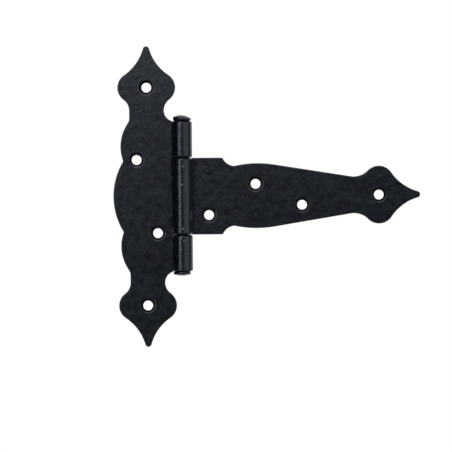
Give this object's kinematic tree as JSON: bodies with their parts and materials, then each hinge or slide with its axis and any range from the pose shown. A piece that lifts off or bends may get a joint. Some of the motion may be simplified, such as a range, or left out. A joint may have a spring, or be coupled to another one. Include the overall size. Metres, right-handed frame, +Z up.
{
  "type": "angle gate hinge",
  "caption": "Flat steel tee hinge with an upright post leaf, a long tapered gate strap, spade-shaped ends and a rolled barrel on a riveted pin.",
  "frame": {"origin": "centre of the post leaf's back face, halfway up the barrel", "axes": "+Z up along the pin, +X from the post leaf towards the gate strap, +Y out of the back faces into the post and gate"},
  "size_m": [0.1939, 0.0132, 0.19],
  "materials": {
    "black_paint": "satin black powder coat",
    "pin_paint": "satin black powder coat over a forged head"
  },
  "bodies": {
    "leaf": {"post_leaf": "black_paint", "hinge_pin": "pin_paint"},
    "strap": {"gate_strap": "black_paint"}
  },
  "joints": [
    {"name": "barrel_hinge", "type": "hinge", "parent": "leaf", "child": "strap", "pos_m": [0.02212, -0.00658, 0], "axis": [0, 0, -1], "range_deg": [-90, 180]}
  ]
}
